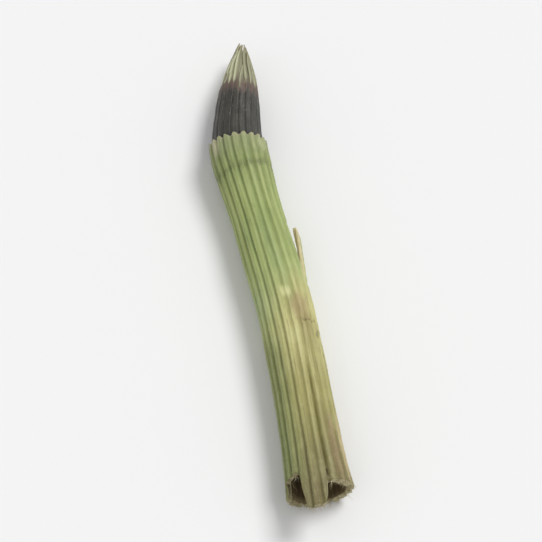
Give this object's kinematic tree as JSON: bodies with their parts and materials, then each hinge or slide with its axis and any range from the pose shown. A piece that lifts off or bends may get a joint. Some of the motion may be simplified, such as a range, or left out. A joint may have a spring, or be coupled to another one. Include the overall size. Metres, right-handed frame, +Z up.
{
  "type": "cut piece of dried horsetail stem",
  "caption": "Cut piece of a dried horsetail stem lying on its side: a hollow ribbed internode with a torn splinter, closed by its node and a dark conical leaf sheath with pale teeth.",
  "frame": {"origin": "middle of the piece, on the surface that it lies on", "axes": "+Y along the stem from the cut end towards the leaf sheath, +Z up, +X towards the side that the splinter is on"},
  "size_m": [0.006, 0.045, 0.0046],
  "materials": {
    "stem": "dried, finely ribbed and slightly gritty skin, olive green by the node and straw coloured towards the cut end",
    "leaf_sheath": "papery dried leaf, satin purple-black with whitish teeth"
  },
  "bodies": {
    "root": {"stem": "stem", "leaf_sheath": "leaf_sheath"}
  },
  "joints": []
}
